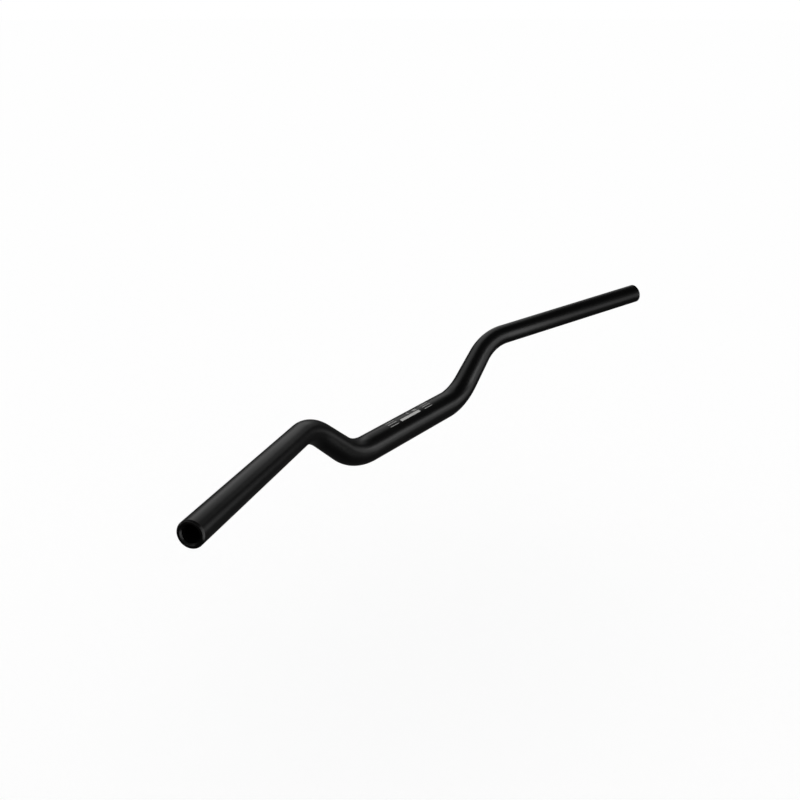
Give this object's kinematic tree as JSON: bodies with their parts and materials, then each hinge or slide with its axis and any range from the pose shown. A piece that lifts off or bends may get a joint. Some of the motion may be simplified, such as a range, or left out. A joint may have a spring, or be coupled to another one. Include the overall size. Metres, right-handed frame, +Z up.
{
  "type": "tapered handlebar",
  "caption": "Tapered motorbike handlebar: one bent aluminium tube, thick in the straight clamping length, slimmer at the swept-back grips, both ends open.",
  "frame": {"origin": "middle of the straight clamping length, on the tube's axis", "axes": "+X along the clamping length, towards the end for the rider's right hand; +Z up, the way the bar rises; -Y towards the rider, the way the ends sweep back"},
  "size_m": [0.7524, 0.1092, 0.1003],
  "materials": {
    "black_anodised": "satin black anodised",
    "printed_marks": "pale grey printed ink"
  },
  "bodies": {
    "root": {"handlebar": "black_anodised"}
  },
  "joints": []
}
